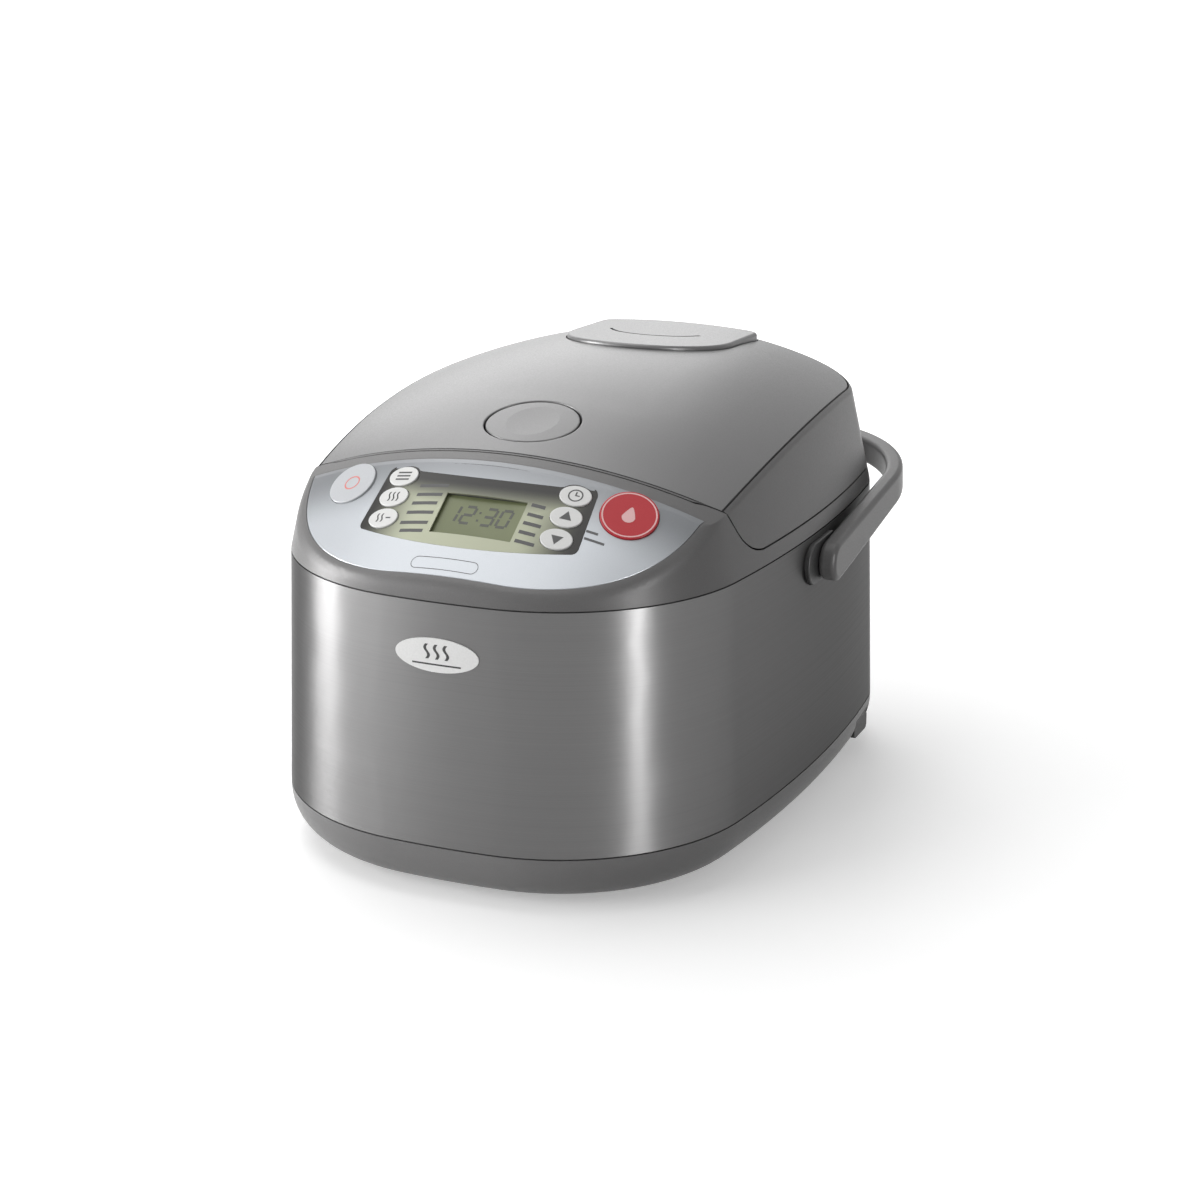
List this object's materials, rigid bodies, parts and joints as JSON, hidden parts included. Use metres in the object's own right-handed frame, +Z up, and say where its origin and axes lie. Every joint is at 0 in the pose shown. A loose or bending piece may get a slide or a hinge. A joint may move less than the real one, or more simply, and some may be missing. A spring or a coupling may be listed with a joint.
{
  "type": "rice cooker",
  "caption": "Electric rice cooker with a domed hinged lid, sloped control panel, brushed steel wrap, lift-out pan and swinging bail handle",
  "frame": {"origin": "on the table, at the middle of the bounding box with the handle laid back", "axes": "+Z is up, the control panel faces -Y, +X is to the right of someone facing the panel"},
  "size_m": [0.3034, 0.3936, 0.2517],
  "materials": {
    "grey_plastic": "satin metallic warm grey",
    "cover_plastic": "satin metallic light grey",
    "steel": "brushed along the girth",
    "silver_film": "satin silver film",
    "window": "smooth tinted lens",
    "lcd_glass": "grey green display",
    "white_key": "soft white",
    "pale_key": "soft pale grey",
    "red_key": "smooth red",
    "white_badge": "smooth white",
    "black_plastic": "black moulded",
    "plug_plastic": "dark grey moulded",
    "rubber_black": "black rubber",
    "silicone": "pale silicone",
    "inner_plastic": "grey moulded",
    "pan_coating": "dark non-stick coating",
    "bare_aluminium": "plain",
    "copper": "bare copper",
    "ferrite": "dull dark grey",
    "heater_foil": "foil",
    "board_green": "solder mask green",
    "bright_steel": "plated steel"
  },
  "bodies": {
    "cooker_body": {"base_pan": "grey_plastic", "top_frame": "grey_plastic", "steel_wrap": "steel", "panel_overlay": "silver_film", "display_window": "window", "lcd_module": "lcd_glass", "badge_plate": "white_badge", "plug_bay": "black_plastic", "handle_bosses": "black_plastic", "fan_housing": "black_plastic", "cord_reel_case": "black_plastic", "coil_holder": "black_plastic", "lcd_holder": "black_plastic", "tact_switches": "black_plastic", "plug": "plug_plastic", "rubber_feet": "rubber_black", "cooking_pan": "pan_coating", "heat_sink": "bare_aluminium", "pan_well": "bare_aluminium", "induction_coil": "copper", "ferrite_bars": "ferrite", "side_heater": "heater_foil", "power_board": "board_green", "control_board": "board_green", "hinge_pin": "bright_steel", "hinge_springs": "bright_steel", "handle_pins": "bright_steel", "base_screws": "bright_steel", "latch_strike": "bright_steel", "sensor_spring": "bright_steel", "hinge_bracket": "bright_steel"},
    "lid": {"lid_cover": "cover_plastic", "lid_frame": "grey_plastic", "lid_liner": "inner_plastic", "lid_heater": "bare_aluminium", "inner_lid": "bare_aluminium", "inner_lid_gasket": "silicone", "steam_gasket": "silicone", "steam_socket": "inner_plastic", "lid_screws": "bright_steel", "button_housing": "black_plastic", "button_spring": "bright_steel", "latch_pin": "bright_steel", "hinge_knuckle": "bright_steel"},
    "handle": {"handle": "grey_plastic"},
    "lid_button": {"lid_button": "grey_plastic"},
    "latch_hook": {"latch_hook": "black_plastic"},
    "vent_cap": {"vent_cap": "cover_plastic"},
    "sensor_plunger": {"sensor_plunger": "bare_aluminium"},
    "fan_rotor": {"fan_rotor": "black_plastic"},
    "cord_reel_drum": {"cord_reel_drum": "black_plastic"},
    "key_menu": {"key_menu": "white_key"},
    "key_keep_warm": {"key_keep_warm": "white_key"},
    "key_extended": {"key_extended": "white_key"},
    "key_timer": {"key_timer": "white_key"},
    "key_up": {"key_up": "white_key"},
    "key_down": {"key_down": "white_key"},
    "key_reset": {"key_reset": "pale_key"},
    "key_cooking": {"key_cooking": "red_key"}
  },
  "joints": [
    {"name": "lid_swing", "type": "hinge", "parent": "cooker_body", "child": "lid", "pos_m": [0, 0.152, 0.2], "axis": [-1, 0, 0], "range_deg": [0, 80]},
    {"name": "handle_swing", "type": "hinge", "parent": "cooker_body", "child": "handle", "pos_m": [0, 0.011, 0.1481], "axis": [1, 0, 0], "range_deg": [0, 82.4]},
    {"name": "lid_button_press", "type": "slide", "parent": "lid", "child": "lid_button", "axis": [0, 0, -1], "range_m": [0, 0.004], "stiffness_N_per_m": 400, "deforming": ["button_spring"]},
    {"name": "latch_rock", "type": "hinge", "parent": "lid", "child": "latch_hook", "pos_m": [0, -0.055, 0.203], "axis": [1, 0, 0], "range_deg": [0, 16.1]},
    {"name": "vent_cap_lift", "type": "slide", "parent": "lid", "child": "vent_cap", "axis": [0, 0, 1], "range_m": [0, 0.04]},
    {"name": "sensor_press", "type": "slide", "parent": "cooker_body", "child": "sensor_plunger", "axis": [0, 0, -1], "range_m": [0, 0.002], "stiffness_N_per_m": 500, "deforming": ["sensor_spring"]},
    {"name": "fan_spin", "type": "hinge", "parent": "cooker_body", "child": "fan_rotor", "pos_m": [-0.045, -0.108, 0.016], "axis": [0, 0, 1], "continuous": true},
    {"name": "cord_reel_spin", "type": "hinge", "parent": "cooker_body", "child": "cord_reel_drum", "pos_m": [0, 0.066, 0.018], "axis": [0, 0, 1], "continuous": true},
    {"name": "key_menu_press", "type": "slide", "parent": "cooker_body", "child": "key_menu", "axis": [0.1608, 0.5437, -0.8238], "range_m": [0, 0.0006], "stiffness_N_per_m": 300},
    {"name": "key_keep_warm_press", "type": "slide", "parent": "cooker_body", "child": "key_keep_warm", "axis": [0.1608, 0.5437, -0.8238], "range_m": [0, 0.0006], "stiffness_N_per_m": 300},
    {"name": "key_extended_press", "type": "slide", "parent": "cooker_body", "child": "key_extended", "axis": [0.1608, 0.5437, -0.8238], "range_m": [0, 0.0006], "stiffness_N_per_m": 300},
    {"name": "key_timer_press", "type": "slide", "parent": "cooker_body", "child": "key_timer", "axis": [-0.1608, 0.5437, -0.8238], "range_m": [0, 0.0006], "stiffness_N_per_m": 300},
    {"name": "key_up_press", "type": "slide", "parent": "cooker_body", "child": "key_up", "axis": [-0.1608, 0.5437, -0.8238], "range_m": [0, 0.0006], "stiffness_N_per_m": 300},
    {"name": "key_down_press", "type": "slide", "parent": "cooker_body", "child": "key_down", "axis": [-0.1608, 0.5437, -0.8238], "range_m": [0, 0.0006], "stiffness_N_per_m": 300},
    {"name": "key_reset_press", "type": "slide", "parent": "cooker_body", "child": "key_reset", "axis": [0.2637, 0.5314, -0.8051], "range_m": [0, 0.0006], "stiffness_N_per_m": 300},
    {"name": "key_cooking_press", "type": "slide", "parent": "cooker_body", "child": "key_cooking", "axis": [-0.2572, 0.5323, -0.8065], "range_m": [0, 0.0006], "stiffness_N_per_m": 300}
  ],
  "couplings": [
    {"joint": "latch_rock", "follows": "lid_button_press", "rad_per_m": 70}
  ]
}
